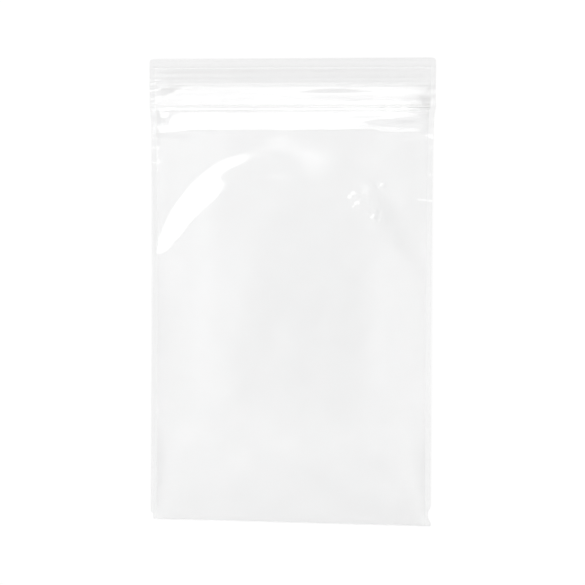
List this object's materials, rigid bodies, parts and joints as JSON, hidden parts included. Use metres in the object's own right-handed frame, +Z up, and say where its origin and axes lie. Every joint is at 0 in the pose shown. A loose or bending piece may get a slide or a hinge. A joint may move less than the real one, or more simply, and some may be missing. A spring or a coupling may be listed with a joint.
{
  "type": "zipper bag",
  "caption": "Clear press-to-close film bag, empty and zipped shut, lying flat with a little air in it; folded at the bottom, welded at the sides, with a longer back lip.",
  "frame": {"origin": "centre of the bag's outline, on the table under its back wall", "axes": "+X across the bag, +Y from the bottom fold up to the mouth, +Z up from the table through the front wall"},
  "size_m": [0.1016, 0.1662, 0.0032],
  "materials": {
    "clear_film": "clear and glossy, faintly hazy"
  },
  "bodies": {
    "root": {"zipper_bag": "clear_film"}
  },
  "joints": []
}
